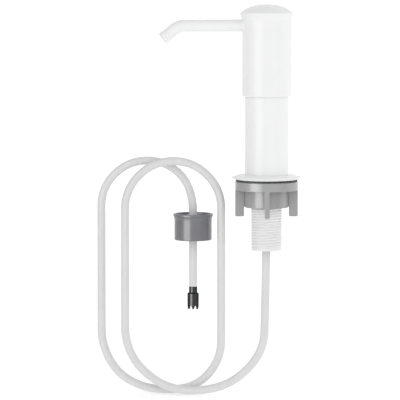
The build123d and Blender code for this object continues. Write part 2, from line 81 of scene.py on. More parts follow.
# %% Put up the camera
view_width = 0.328
camera_distance = 2.5
camera_tilt = math.radians(4.8)
film_width = 36.0
aim = Vector((-0.0545, 0.0, -0.0181))
camera_data = bpy.data.cameras.new("studio_camera")
camera_data.sensor_width = film_width
camera_data.lens = film_width * camera_distance / view_width
camera_data.clip_end = 200.0
camera = bpy.data.objects.new("studio_camera", camera_data)
bpy.context.collection.objects.link(camera)
line_of_sight = Vector((0.0, math.cos(camera_tilt), -math.sin(camera_tilt)))
camera.location = aim - camera_distance * line_of_sight
camera.rotation_euler = line_of_sight.to_track_quat("-Z", "Y").to_euler()
bpy.context.scene.camera = camera
print("lens in mm:", round(camera_data.lens, 1))

# %% [markdown]
# ## The suction tube
# The real tube is an extruded hose of natural polyethylene, a metre long, that was packed in
# a flat coil and keeps it: down out of the shank, twice round, and down again to the foot
# valve. A NURBS curve is the natural tool, because its few control points pull the line
# round in bends that have no kinks, as a springy hose does. The points are the tube route of
# the CAD source, in metres, and each long upright run has one point more near each of its
# ends, which keep it straight.

# %% Draw the suction tube
tube_route = [
    (0.0, 0.0, -0.036),
    (0.0, 0.0, -0.062),
    (-0.00107, 0.00126, -0.1117),
    (-0.0017, 0.0020, -0.1410),
    (-0.0196, 0.0024, -0.1642),
    (-0.0438, 0.0030, -0.1760),
    (-0.0784, 0.0036, -0.1760),
    (-0.1040, 0.0042, -0.1589),
    (-0.1162, 0.0048, -0.1364),
    (-0.1162, 0.00525, -0.1108),
    (-0.1162, 0.00643, -0.0428),
    (-0.1162, 0.0070, -0.0100),
    (-0.0930, 0.0076, 0.0132),
    (-0.0602, 0.0084, 0.0134),
    (-0.0370, 0.0090, -0.0098),
    (-0.0370, 0.00953, -0.0426),
    (-0.0370, 0.01086, -0.1254),
    (-0.0370, 0.0112, -0.1462),
    (-0.0468, 0.0116, -0.1646),
    (-0.0645, 0.0121, -0.1762),
    (-0.0942, 0.0128, -0.1768),
    (-0.1142, 0.0133, -0.1690),
    (-0.1270, 0.0136, -0.1570),
    (-0.1359, 0.0140, -0.1370),
    (-0.1359, 0.01437, -0.1151),
    (-0.1359, 0.01566, -0.0403),
    (-0.1359, 0.0162, -0.0090),
    (-0.1137, 0.0167, 0.0131),
    (-0.0824, 0.0174, 0.0132),
    (-0.06026, 0.0180, -0.0090),
    (-0.0602, 0.0180, -0.0520),
    (-0.0602, 0.0180, -0.0913),
]
tube_radius = 0.00335
tube_curve = bpy.data.curves.new("suction_tube", "CURVE")
tube_curve.dimensions = "3D"
tube_line = tube_curve.splines.new("NURBS")
tube_line.points.add(len(tube_route) - 1)
for point, place in zip(tube_line.points, tube_route):
    point.co = (*place, 1.0)
tube_line.order_u = 3
tube_line.use_endpoint_u = True
tube_line.resolution_u = 20
tube_curve.bevel_depth = tube_radius
tube_curve.bevel_resolution = 9
tube_curve.use_fill_caps = True
suction_tube = bpy.data.objects.new("suction_tube", tube_curve)
bpy.context.collection.objects.link(suction_tube)
print("control points of the tube:", len(tube_route))

# %% [markdown]
# ## Arithmetic with sockets
# A finish is a small network of nodes. Networks are easier to read as sums, so one class
# wraps a socket and lets Python's operators add the Math nodes. A second class holds one
# finish, and has one method for every other kind of node.

# %% Wrap a socket so that it can be added and multiplied
class Wire:
    """One value travelling through a finish. wire * 2 + 1 adds two Math nodes."""

    def __init__(self, finish, socket):
        self.finish = finish
        self.socket = socket

    def _with(self, operation, first, second):
        return self.finish.node("ShaderNodeMath", {"operation": operation}, {0: first, 1: second})

    def __add__(self, other):
        return self._with("ADD", self, other)

    __radd__ = __add__

    def __mul__(self, other):
        return self._with("MULTIPLY", self, other)

    __rmul__ = __mul__


# %% Hold one finish and its nodes
class Finish:
    """One material: its node tree, its Principled shader, and the object's own coordinates."""

    def __init__(self, name, **constants):
        self.material = bpy.data.materials.new(name)
        self.material.use_nodes = True
        self.tree = self.material.node_tree
        self.shader = next(n for n in self.tree.nodes if n.type == "BSDF_PRINCIPLED")
        for socket, value in constants.items():
            self.shader.inputs[socket.replace("_", " ")].default_value = value
        self.place = self.node("ShaderNodeTexCoord", {}, {}, "Object")

    def node(self, kind, settings, sockets, output=0):
        """Adds a node, applies its settings, then fills or links its sockets."""
        made = self.tree.nodes.new(kind)
        for key, value in settings.items():
            if key == "stops":
                for stop, (position, color) in enumerate(value):
                    if stop > 1:
                        made.color_ramp.elements.new(position)
                    made.color_ramp.elements[stop].position = position
                    made.color_ramp.elements[stop].color = (*color, 1.0)
            else:
                setattr(made, key, value)
        for key, value in sockets.items():
            if isinstance(value, Wire):
                self.tree.links.new(value.socket, made.inputs[key])
            else:
                made.inputs[key].default_value = value
        return Wire(self, made.outputs[output])

    def feed(self, **sockets):
        """Links values that change over the surface to the shader."""
        for key, wire in sockets.items():
            self.tree.links.new(wire.socket, self.shader.inputs[key.replace("_", " ")])

    def noise(self, scale, detail=3.0, roughness=0.5, where=None):
        """Cloudy values from 0 to 1, whose clouds are about 1/scale metres across."""
        sockets = {"Vector": where or self.place, "Scale": scale, "Detail": detail, "Roughness": roughness}
        return self.node("ShaderNodeTexNoise", {}, sockets)

    def pores(self, scale):
        """0 in the middle of each round pore and up to 1 between them, 1/scale metres apart."""
        return self.node("ShaderNodeTexVoronoi", {}, {"Vector": self.place, "Scale": scale}, "Distance")

    def stretched(self, along):
        """The object's coordinates, squeezed by a factor for each axis."""
        return self.node("ShaderNodeMapping", {}, {"Vector": self.place, "Scale": along})

    def between(self, mask, low, high):
        """A colour that goes from low to high as the mask goes from 0 to 1."""
        ramp = {"stops": [(0.25, low), (0.75, high)]}
        return self.node("ShaderNodeValToRGB", ramp, {"Fac": mask})

    def relief(self, height, distance, strength):
        """A Bump node: height from 0 to 1 stands for distance metres."""
        sockets = {"Height": height, "Distance": distance, "Strength": strength}
        return self.node("ShaderNodeBump", {}, sockets, "Normal")


# %% [markdown]
# ## White enamel and white mouldings
# White enamel is sprayed, so it has the very fine, shallow ripple that painters call orange
# peel, and a gloss that wanders a little. Moulded plastic copies the steel of its mould: a
# fine even grain, faint flow marks, and a slightly satin gloss. A picture of each could be
# wrapped round the pieces, but noise in the object's own coordinates has no seam and stays
# the same size everywhere. So each finish is one to three layers of noise, at the size that
# the real marks have.

# %% Mix the two whites
white_enamel = Finish("white_enamel", Specular_IOR_Level=0.16, Coat_Weight=0.05, Coat_Roughness=0.08)
cloud = white_enamel.noise(35.0, 2.0)
peel = white_enamel.noise(1100.0, 2.0)
white_enamel.feed(
    Base_Color=white_enamel.between(cloud, (0.835, 0.837, 0.839), (0.856, 0.858, 0.858)),
    Roughness=0.27 + 0.1 * white_enamel.noise(160.0),
    Normal=white_enamel.relief(peel, 0.00001, 0.5),
)

white_moulding = Finish("white_moulding", Specular_IOR_Level=0.25)
cloud = white_moulding.noise(60.0, 3.0)
grain = white_moulding.noise(5200.0, 2.0)
white_moulding.feed(
    Base_Color=white_moulding.between(cloud, (0.77, 0.772, 0.77), (0.83, 0.832, 0.83)),
    Roughness=0.36 + 0.14 * cloud,
    Normal=white_moulding.relief(grain, 0.000012, 0.5),
)

# %% [markdown]
# ## Foam, rubber and the grey nut
# Foam is full of round pores, which a Voronoi pattern draws in one node. The foam's colour is
# darkened in the middle of each pore as painted shade in its hollow. Rubber has a patchy bloom of
# wax. The nut is moulded in a grey nylon with a spark-eroded grain: fine, but coarse enough to
# break up its shine. Its flow marks are drawn out along the mould's pull.

# %% Mix the foam, the rubber and the grey moulding
white_foam = Finish("white_foam", Specular_IOR_Level=0.25)
pores = white_foam.pores(2600.0)
white_foam.feed(
    # The colour is darker in the middle of each pore: painted shade in the pore hollows.
    Base_Color=white_foam.between(pores, (0.90, 0.90, 0.895), (0.96, 0.96, 0.955)),
    Roughness=0.8 + 0.15 * white_foam.noise(900.0),
    Normal=white_foam.relief(pores, 0.00006, 0.5),
)

black_rubber = Finish("black_rubber", IOR=1.52)
bloom = black_rubber.noise(220.0, 4.0, 0.65)
black_rubber.feed(
    Base_Color=black_rubber.between(bloom, (0.018, 0.018, 0.019), (0.04, 0.04, 0.042)),
    Roughness=0.48 + 0.25 * bloom,
    Normal=black_rubber.relief(black_rubber.noise(4200.0), 0.000015, 0.6),
)

grey_moulding = Finish("grey_moulding", IOR=1.65)
flow = grey_moulding.noise(90.0, 4.0, 0.55, grey_moulding.stretched((1.0, 1.0, 0.25)))
spark = grey_moulding.noise(4300.0, 3.0, 0.6)
grey_moulding.feed(
    Base_Color=grey_moulding.between(flow, (0.310, 0.310, 0.313), (0.355, 0.355, 0.357)),
    Roughness=0.22 + 0.10 * spark,
    Normal=grey_moulding.relief(spark, 0.00002, 0.6),
)

# %% [markdown]
# ## Cap, slip washer, tube and inner mouldings
# The cap is the glossiest plastic, and the darkest. The washer is cut from sheet. The tube is
# drawn through a die, so it is streaked up and down, the way that most of it runs. The plastic
# inside the pump has no dye, and looks a little yellow. Each has slow changes of colour and
# gloss, and most have a fine grain besides.

# %% Mix the plastics
cap_moulding = Finish("cap_moulding", IOR=1.58)
flow = cap_moulding.noise(120.0, 4.0, 0.55, cap_moulding.stretched((1.0, 1.0, 0.3)))
cap_moulding.feed(
    Base_Color=cap_moulding.between(flow, (0.150, 0.151, 0.164), (0.178, 0.179, 0.194)),
    Roughness=0.19 + 0.08 * flow,
    Normal=cap_moulding.relief(cap_moulding.noise(3600.0), 0.00001, 0.4),
)

slip_plastic = Finish("slip_plastic", IOR=1.45)
cloud = slip_plastic.noise(140.0)
slip_plastic.feed(
    Base_Color=slip_plastic.between(cloud, (0.60, 0.60, 0.60), (0.68, 0.68, 0.675)),
    Roughness=0.4 + 0.15 * cloud,
    Normal=slip_plastic.relief(slip_plastic.noise(2500.0), 0.00001, 0.4),
)

milky_hose = Finish("milky_hose", Specular_IOR_Level=0.2)
drawn = milky_hose.noise(260.0, 3.0, 0.55, milky_hose.stretched((1.0, 1.0, 0.15)))
milky_hose.feed(
    Base_Color=milky_hose.between(drawn, (0.665, 0.666, 0.665), (0.71, 0.711, 0.71)),
    Roughness=0.38 + 0.14 * drawn,
    Normal=milky_hose.relief(drawn, 0.00002, 0.4),
)

natural_moulding = Finish("natural_moulding", IOR=1.46)
cloud = natural_moulding.noise(150.0, 3.0)
natural_moulding.feed(
    Base_Color=natural_moulding.between(cloud, (0.70, 0.70, 0.67), (0.78, 0.78, 0.75)),
    Roughness=0.35 + 0.15 * cloud,
    Normal=natural_moulding.relief(natural_moulding.noise(3800.0), 0.00001, 0.4),
)

liner_foam = Finish("liner_foam", Specular_IOR_Level=0.3)
cells = liner_foam.pores(3200.0)
liner_foam.feed(
    # The colour is darker in the middle of each cell: painted shade in the cell hollows.
    Base_Color=liner_foam.between(cells, (0.74, 0.74, 0.71), (0.84, 0.84, 0.81)),
    Roughness=0.7 + 0.2 * cells,
    Normal=liner_foam.relief(cells, 0.00004, 0.5),
)

# %% [markdown]
# ## Metals
# A metal has no colour under its shine, so its base colour is how much it reflects. The foot
# valve is plated in a nearly black chrome, whose Specular Tint keeps it dark at its edges too,
# where any other metal reflects everything. The spring and the balls are bright steel.

# %% Mix the metals
dark_chrome = Finish("dark_chrome", Metallic=1.0, Specular_Tint=(0.12, 0.12, 0.13, 1.0))
smear = dark_chrome.noise(420.0, 4.0, 0.6)
scratches = dark_chrome.noise(1500.0, 2.0, 0.5, dark_chrome.stretched((1.0, 1.0, 0.1)))
dark_chrome.feed(
    Base_Color=dark_chrome.between(smear, (0.04, 0.041, 0.043), (0.06, 0.061, 0.063)),
    Roughness=0.06 + 0.07 * smear,
    Normal=dark_chrome.relief(scratches, 0.000004, 0.4),
)

spring_steel = Finish("spring_steel", Metallic=1.0)
drawn = spring_steel.noise(1800.0, 3.0)
spring_steel.feed(
    Base_Color=spring_steel.between(drawn, (0.50, 0.50, 0.49), (0.66, 0.66, 0.65)),
    Roughness=0.22 + 0.2 * drawn,
    Normal=spring_steel.relief(drawn, 0.000008, 0.5),
)

ball_steel = Finish("ball_steel", Metallic=1.0)
haze = ball_steel.noise(900.0, 3.0)
ball_steel.feed(
    Base_Color=ball_steel.between(haze, (0.62, 0.62, 0.62), (0.72, 0.72, 0.72)),
    Roughness=0.06 + 0.08 * haze,
    Normal=ball_steel.relief(haze, 0.000002, 0.3),
)
print("finishes:", len([m for m in bpy.data.materials if m.use_nodes]))

# %% [markdown]
# ## Turned surfaces
# Nearly every piece is round, so nearly every piece is one profile carried round an axis.
# The profile is a list of corners in millimetres, radius first and height second. Real
# edges are never sharp: each corner is replaced by an arc of its own radius. The arc is a
# rational quadratic curve, which is exactly circular when its middle weight is the sine of
# half the corner's angle.

# %% Round the corners of a profile
arc_share = 0.42        # the most of a side that an arc may take
beside_arc = 1.15       # where the extra points lie, as a share of the arc's reach


def softened(corners, closed=True, steps=6):
    """Corners are (radius, height, rounding). Each corner C becomes an arc from A to B, which
    lie on its two sides: point(s) = ((1-s)^2 A + 2 w s (1-s) C + s^2 B) / (the same weights),
    with w the sine of half the corner's angle. One extra point on each side keeps the shading
    of the long flat runs straight."""
    corners = np.array(corners, float)
    points = corners[:, :2]
    to_last = np.roll(points, 1, axis=0) - points
    to_next = np.roll(points, -1, axis=0) - points
    last_length = np.linalg.norm(to_last, axis=1, keepdims=True)
    next_length = np.linalg.norm(to_next, axis=1, keepdims=True)
    to_last = to_last / last_length
    to_next = to_next / next_length
    cosine = np.clip((to_last * to_next).sum(1, keepdims=True), -1.0, 0.9999)
    half = np.arccos(cosine) / 2
    shorter = np.minimum(last_length, next_length)
    reach = np.minimum(corners[:, 2:3] / np.tan(half), arc_share * shorter)
    first = points + reach * to_last
    last = points + reach * to_next
    s = np.linspace(0.0, 1.0, steps)[None, :, None]
    weight = 2 * np.sin(half)[:, None] * s * (1 - s)
    top = (1 - s) ** 2 * first[:, None] + weight * points[:, None] + s**2 * last[:, None]
    arcs = top / ((1 - s) ** 2 + weight + s**2)
    before = points + beside_arc * reach * to_last
    after = points + beside_arc * reach * to_next
    arcs = np.concatenate([before[:, None], arcs, after[:, None]], axis=1)
    if closed:
        return arcs.reshape(-1, 2)
    middle = arcs[1:-1].reshape(-1, 2)
    return np.vstack([points[:1], middle, points[-1:]])


# %% [markdown]
# A grid of points becomes a mesh by joining each point to its right and upper neighbours.
# The last column of the grid repeats the first, and welding the doubles closes that seam.
# Welding closes the poles too, where a whole row has shrunk to a point. The sign of the
# volume inside tells whether the faces look outwards.

# %% Turn a grid of points into a closed piece
weld_distance = 4e-7


def rejoined(grid, axis):
    """The grid with its first row (axis 0) or column (axis 1) repeated after its last."""
    return np.concatenate([grid, np.take(grid, [0], axis=axis)], axis=axis)


def skin(name, grids, finish, closed=True):
    """Makes one piece from several grids of points, each of shape rows x columns x 3, in mm.
    Each point is joined to the next in its row and its column: face(i, j) = (i, j), (i, j + 1),
    (i + 1, j + 1), (i + 1, j). A closed grid's last row is joined to its first."""
    places = []
    faces = []
    count = 0
    for grid in grids:
        if closed:
            grid = rejoined(grid, 0)
        rows, columns = grid.shape[:2]
        index = np.arange(rows * columns).reshape(rows, columns) + count
        corner = (index[:-1, :-1], index[:-1, 1:], index[1:, 1:], index[1:, :-1])
        faces.append(np.stack(corner, axis=-1).reshape(-1, 4))
        places.append(grid.reshape(-1, 3) / 1000.0)
        count += rows * columns
    mesh = bpy.data.meshes.new(name)
    mesh.from_pydata(np.vstack(places).tolist(), [], np.vstack(faces).tolist())
    work = bmesh.new()
    work.from_mesh(mesh)
    bmesh.ops.remove_doubles(work, verts=work.verts, dist=weld_distance)
    if work.calc_volume(signed=True) < 0:
        bmesh.ops.reverse_faces(work, faces=work.faces)
    open_edges = sum(1 for edge in work.edges if not edge.is_manifold)
    work.to_mesh(mesh)
    work.free()
    mesh.polygons.foreach_set("use_smooth", np.ones(len(mesh.polygons), bool))
    mesh.materials.append(finish.material)
    piece = bpy.data.objects.new(name, mesh)
    bpy.context.collection.objects.link(piece)
    print(f"{name}: {len(mesh.polygons)} faces, {open_edges} open edges")
    return piece


# %% [markdown]
# A turned piece is a grid too: one row for each point of the profile, and one column for each
# step round the axis. A column more or less doesn't show on a smooth piece, so big pieces get
# more of them only to keep their outline round.

# %% Carry a profile round an upright axis
def turned(profile, at=(0.0, 0.0), columns=128):
    """Point(row, angle) = axis + radius(row) * (cosine, sine of angle), at height(row)."""
    angle = np.linspace(0.0, 2 * np.pi, columns + 1)
    radius = np.broadcast_to(profile[..., 0].reshape(len(profile), -1), (len(profile), columns + 1))
    height = np.broadcast_to(profile[..., 1].reshape(len(profile), -1), (len(profile), columns + 1))
    return np.stack([at[0] + radius * np.cos(angle), at[1] + radius * np.sin(angle), height], axis=-1)


def settle(piece, body, slot, *nodes):
    """The piece moves with a body and hides the nodes it stands for. The slot is not used."""
    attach(piece, body)
    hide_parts(*nodes)


def mm(node):
    """A node's lowest and highest corners in millimetres."""
    low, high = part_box(node)
    return 1000 * np.array(low), 1000 * np.array(high)


# %% [markdown]
# ## The head
# The head is a drawn cap that slides over the sleeve when it is pressed. Its crown follows a
# power curve, flat in the middle and steep at the rim. The rim stands out over a hollow cove
# and runs into the straight side, whose lower edge is rounded. It could be modelled from a
# cylinder with bevels, but a formula for the crown gives the same even sheen from every side.

# %% Shape the head
head_low, head_high = mm("pump_head")
rim_radius = head_high[0]
head_radius = 20.15
head_bore = 18.25
dome_rise = 7.0
crown_power = 2.65
crown_share = 0.975     # the crown ends just inside the rim, whose corner is rounded
rim_edge = 1.1
crown_wall = 2.3
rim_top = head_high[2] - dome_rise
rim_bottom = rim_top - rim_edge
cove_height = 6.4
share = np.linspace(0.0, crown_share, 40) ** 0.8
crown = np.stack([rim_radius * share, head_high[2] - dome_rise * share**crown_power], axis=1)
roll = np.linspace(0.05, 1.0, 18)
cove_radius = head_radius + (rim_radius - head_radius) * (1 - roll) ** 2
cove = np.stack([cove_radius, rim_bottom - cove_height * roll], axis=1)
rim_corners = [(*crown[-1], 0), (rim_radius, rim_top, 0.7), (rim_radius, rim_bottom, 0.45), (*cove[0], 0)]
rim = softened(rim_corners, False)
skirt = softened(
    [
        (*cove[-1], 0),
        (head_radius, head_low[2], 1.3),
        (head_bore, head_low[2], 0.3),
        (head_bore, rim_bottom - 2.0, 2.5),
        (0.6 * rim_radius, head_high[2] - 3.9, 6.0),
        (0.0, head_high[2] - crown_wall, 0),
    ],
    False,
    10,
)
head_profile = np.vstack([crown, rim[1:-1], cove, skirt[1:]])
head = skin("head", [turned(head_profile, columns=160)], white_enamel, closed=False)
settle(head, "head", "white_paint", "pump_head")

# %% [markdown]
# ## The spout
# The spout is a bent tube that leaves the head square to it, drops over a short bend and ends
# in a small ring. Its surface is a profile carried along a path instead of an axis: a
# straight run, an arc, and a straight end. A wider seat is raised on the head round it, where
# the metal was drawn out to hold the tube.

# %% Carry a profile along the spout's path
spout_turn = math.radians(8.0)
outward = np.array([-math.cos(spout_turn), -math.sin(spout_turn), 0.0])
sideways = np.array([math.sin(spout_turn), -math.cos(spout_turn), 0.0])
upward = np.array([0.0, 0.0, 1.0])
spout_height = 124.9
spout_radius = 5.0
spout_bore = 4.2
spout_start = 3.8
tip_ring = 0.18         # how far the rolled ring at the tip stands out
tip_ring_length = 2.4
tip_ring_slope = 0.2
bend_start = 68.0
bend_radius = 13.0
droop = math.radians(38.5)
spout_tip = 12.3
bend_end = bend_start + bend_radius * droop
spout_length = bend_end + spout_tip


def along_spout(profile, columns=96):
    """Distance along the path gives the angle turned, which is 0 before the bend, grows evenly
    in it and stays after it; centre = start + run out to the bend + arc + run down the tip;
    point = centre + radius * (cosine * sideways + sine * the direction square to the path)."""
    radius, distance = profile[:, 0], profile[:, 1]
    turn = np.clip((distance - bend_start) / bend_radius, 0.0, droop)
    rest = np.maximum(distance - bend_end, 0.0)
    out = np.minimum(distance, bend_start) + bend_radius * np.sin(turn) + rest * np.cos(turn)
    down = bend_radius * (1 - np.cos(turn)) + rest * np.sin(turn)
    centre = out[:, None] * outward + (spout_height - down)[:, None] * upward
    across = np.sin(turn)[:, None] * outward + np.cos(turn)[:, None] * upward
    angle = np.linspace(0.0, 2 * np.pi, columns + 1)
    side = np.cos(angle)[None, :, None] * sideways
    rise = np.sin(angle)[None, :, None] * across[:, None, :]
    return centre[:, None, :] + radius[:, None, None] * (side + rise)


def divided(profile, longest=1.5):
    """Adds evenly spaced points on every run of the profile that is longer than the limit."""
    ends = np.roll(profile, -1, axis=0)
    parts = np.maximum(np.ceil(np.linalg.norm(ends - profile, axis=1) / longest), 1).astype(int)
    which = np.repeat(np.arange(len(profile)), parts)
    step = np.arange(len(which)) - np.repeat(np.cumsum(parts) - parts, parts)
    share = (step / parts[which])[:, None]
    return profile[which] * (1 - share) + ends[which] * share


# %% Shape the spout and its nozzle
spout_outline = softened(
    [
        (spout_bore, spout_start, 0.1),
        (spout_radius, spout_start, 0.1),
        (spout_radius, spout_length - tip_ring_length - tip_ring_slope, 0.3),
        (spout_radius + tip_ring, spout_length - tip_ring_length, 0.3),
        (spout_radius + tip_ring, spout_length, 0.4),
        (spout_bore, spout_length, 0.25),
    ]
)
spout = skin("spout", [along_spout(divided(spout_outline))], white_enamel)
settle(spout, "head", "white_paint", "spout_tube")

nozzle_bore = 2.5
nozzle_radius = spout_bore - 0.05
nozzle_length = 3.0
nozzle_inset = 0.4
nozzle_outline = softened(
    [
        (nozzle_bore, spout_length - nozzle_length, 0.1),
        (nozzle_radius, spout_length - nozzle_length, 0.1),
        (nozzle_radius, spout_length - nozzle_inset, 0.35),
        (nozzle_bore, spout_length - nozzle_inset, 0.7),
    ]
)
nozzle = skin("nozzle_ring", [along_spout(divided(nozzle_outline, 0.6))], white_moulding)
settle(nozzle, "head", "white_plastic", "nozzle_insert")

# %% Raise the seat of the spout on the head
def spout_seat(columns=96, width=1.3, sunk=0.8, overlap=0.05):
    """Round the spout, at a distance a little more than its own radius, the seat's outer face
    is the head's cylinder plus a quarter circle: how far it stands out is
    width * (1 - root(1 - (1 - share)^2)), with share from 0 at the tube to 1 at its foot. The
    last two rows lie sunk in the head, and close the seat behind."""
    share = np.concatenate([np.linspace(0.0, 1.0, 14), [1.0, 0.0]])
    stand = width * (1 - np.sqrt(1 - (1 - share) ** 2))
    stand[-2:] = -sunk
    reach = spout_radius - overlap + width * share
    angle = np.linspace(0.0, 2 * np.pi, columns + 1)
    flat = reach[:, None] * np.cos(angle)
    high = reach[:, None] * np.sin(angle)
    out = np.sqrt(head_radius**2 - flat**2) + stand[:, None]
    centre = np.array([0.0, 0.0, spout_height])
    return centre + out[..., None] * outward + flat[..., None] * sideways + high[..., None] * upward


seat = skin("spout_seat", [spout_seat()], white_enamel)
settle(seat, "head", "white_paint")

# %% [markdown]
# ## The sleeve, the flange and its seal
# The sleeve is a plain tube with a softened mouth. The flange is a thin disc pressed into a
# shallow dome, thin at its edge, and the white foam seal shows as a bright line below it.

# %% Shape the sleeve, the flange and the seal
sleeve_low, sleeve_high = mm("base_sleeve")
sleeve_radius = 17.9
sleeve_bore = 15.8
sleeve_profile = softened(
    [
        (sleeve_bore, sleeve_low[2], 0.1),
        (sleeve_radius, sleeve_low[2], 0.1),
        (sleeve_radius, sleeve_high[2], 0.8),
        (sleeve_bore, sleeve_high[2], 0.4),
    ]
)
sleeve = skin("sleeve", [turned(sleeve_profile, columns=160)], white_enamel)
settle(sleeve, "base", "white_paint", "base_sleeve")

flange_low, flange_high = mm("flange")
flange_radius = flange_high[0]
flange_hole = 12.95
flange_crown = 19.0
flange_drop = 2.1
flange_lip = 2.8
edge_room = 0.3
edge_height = 0.75
seal_recess = 0.5
reach = np.linspace(0.0, 1.0, 30)
dome_radius = flange_crown + (flange_radius - edge_room - flange_crown) * reach
dome = np.stack([dome_radius, flange_high[2] - flange_drop * reach**2], axis=1)
flange_edge = softened(
    [
        (*dome[-1], 0),
        (flange_radius, flange_low[2] + edge_height, 0.25),
        (flange_radius, flange_low[2], 0.3),
        (flange_radius - flange_lip, flange_low[2], 0.15),
        (flange_radius - flange_lip, flange_low[2] + seal_recess, 0.1),
        (flange_hole, flange_low[2] + seal_recess, 0.1),
        (flange_hole, flange_high[2], 0.1),
        (*dome[0], 0),
    ],
    False,
)
flange_profile = np.vstack([dome, flange_edge[1:-1]])
flange = skin("flange_plate", [turned(flange_profile, columns=192)], white_enamel)
settle(flange, "base", "white_paint", "flange")

seal_low, seal_high = mm("flange_seal")
seal_profile = softened(
    [
        (flange_hole, seal_low[2], 0.2),
        (seal_high[0], seal_low[2], 0.3),
        (seal_high[0], seal_high[2], 0.2),
        (flange_hole, seal_high[2], 0.2),
    ]
)
seal = skin("foam_seal_ring", [turned(seal_profile, columns=160)], white_foam)
settle(seal, "base", "foam_seal", "flange_seal")

# %% [markdown]
# ## The threaded shank
# The thread is a true helix, cut by a lathe or moulded in two halves. A row of points is
# carried round while it climbs by one pitch, so each row follows the crest exactly and ends
# where the row of the next turn begins. Welding joins the two. Towards both ends of the
# thread the ridge fades out, as a moulded thread does.

# %% Cut a thread
ridge_foot = 0.42       # from the ridge's middle to its foot, as a share of the pitch
ridge_flank = 0.22      # width of its sloping flank


def screw(low, high, root, depth, pitch, columns=128, steps=14, fade=1.6):
    """Height(row, angle) = low + pitch * (row / steps + angle / full turn), kept between low and
    high. Radius = root + depth * ridge * fade, where ridge is a smoothed trapezium over one
    pitch, and fade falls to 0 at both ends."""
    rows = np.arange(-steps, int(np.ceil((high - low) / pitch * steps)) + 1)[:, None]
    angle = np.linspace(0.0, 1.0, columns + 1)[None, :]
    height = np.clip(low + pitch * (rows / steps + angle), low, high)
    slope = np.clip((ridge_foot - np.abs(rows / steps % 1.0 - 0.5)) / ridge_flank, 0.0, 1.0)
    ridge = slope**2 * (3 - 2 * slope)
    ends = np.clip((height - low) / fade, 0.0, 1.0) * np.clip((high - height) / fade, 0.0, 1.0)
    return np.stack([root + depth * ridge * ends, height], axis=-1)


def widened(profile, columns=128):
    """Repeats a profile for each angle, so that it can be stacked on a thread."""
    return np.repeat(profile[:, None, :], columns + 1, axis=1)


# %% Shape the shank
shank_low, shank_high = mm("threaded_shank")
shank_bore = 9.9
root_radius = 11.8
thread_depth = 0.85
thread_pitch = 2.2
lead_length = 2.7
thread_low = shank_low[2] + lead_length
thread_high = -1.8
crest_radius = root_radius + thread_depth
lead_radius = 12.3
shoulder_radius = 15.65
shoulder_low = 3.0
shoulder_high = 6.0
housing_radius = 12.2
lead_profile = softened(
    [
        (shank_bore, shank_high[2], 0),
        (shank_bore, shank_low[2], 0.25),
        (lead_radius, shank_low[2], 1.5),
        (lead_radius, thread_low, 0.25),
        (root_radius, thread_low, 0),
    ],
    False,
)
upper_profile = softened(
    [
        (root_radius, thread_high, 0),
        (crest_radius, thread_high, 0.1),
        (crest_radius, shoulder_low, 0.05),
        (shoulder_radius, shoulder_low, 0.2),
        (shoulder_radius, shoulder_high, 0.4),
        (housing_radius, shoulder_high, 0.4),
        (housing_radius, shank_high[2], 0.2),
        (shank_bore, shank_high[2], 0),
    ],
    False,
)
shank_rows = np.concatenate(
    [
        widened(lead_profile[:-1]),
        screw(thread_low, thread_high, root_radius, thread_depth, thread_pitch),
        widened(upper_profile[1:-1]),
    ]
)
shank = skin("screw_shank", [turned(shank_rows)], white_moulding)
settle(shank, "base", "white_plastic", "threaded_shank")

# %% [markdown]
# ## Gasket, slip washer and winged nut
# The rubber gasket and its washer are plain rings. The nut is one moulding: a ring that
# bears on the washer, a hub that carries the thread, and four wings for the fingers. Each wing
# is a plate with softened edges that grows out of a narrower rib down the hub.

# %% Shape the two rings
ring_hole = 13.05
gasket_low, gasket_high = mm("deck_gasket")
gasket_profile = softened(
    [
        (ring_hole, gasket_low[2], 0.2),
        (gasket_high[0], gasket_low[2], 0.35),
        (gasket_high[0], gasket_high[2], 0.35),
        (ring_hole, gasket_high[2], 0.2),
    ]
)
gasket = skin("rubber_gasket", [turned(gasket_profile)], black_rubber)
settle(gasket, "nut_slip", "black_rubber", "deck_gasket")

washer_low, washer_high = mm("nut_washer")
washer_profile = softened(
    [
        (ring_hole, washer_low[2], 0.1),
        (washer_high[0], washer_low[2], 0.15),
        (washer_high[0], washer_high[2], 0.15),
        (ring_hole, washer_high[2], 0.1),
    ]
)
washer = skin("slip_washer", [turned(washer_profile)], slip_plastic)
settle(washer, "nut_slip", "slip_plastic", "nut_washer")

# %% Set a plate upright on the nut
def wing(corners, thickness, turn, rim, edge=0.35):
    """Levels across the thickness carry the same outline, drawn in towards its middle by
    edge * (1 - sine) where the edge is rounded, and the first and last level shrink to the
    middle. A point at radius r and level t stands at the angle turn + t / rim, so the plate
    is a wedge that has its full thickness at the rim."""
    outline = softened(corners, steps=5)
    middle = outline.mean(axis=0)
    bend = np.linspace(0.0, np.pi / 2, 6)
    face = thickness / 2
    inset = edge * (1 - np.sin(bend))
    level = face - edge * (1 - np.cos(bend))
    inset = np.concatenate([[0.0, 3 * edge], inset, inset[::-1], [3 * edge, 0.0]])
    level = np.concatenate([[-face, -face], -level, level[::-1], [face, face]])
    size = np.linalg.norm(outline - middle, axis=1)
    shrink = 1 - inset[:, None] / size[None, :]
    shrink[[0, -1]] = 0.0
    flat = middle + shrink[..., None] * (outline - middle)
    angle = turn + level[:, None] / rim
    return np.stack([flat[..., 0] * np.cos(angle), flat[..., 0] * np.sin(angle), flat[..., 1]], axis=-1)


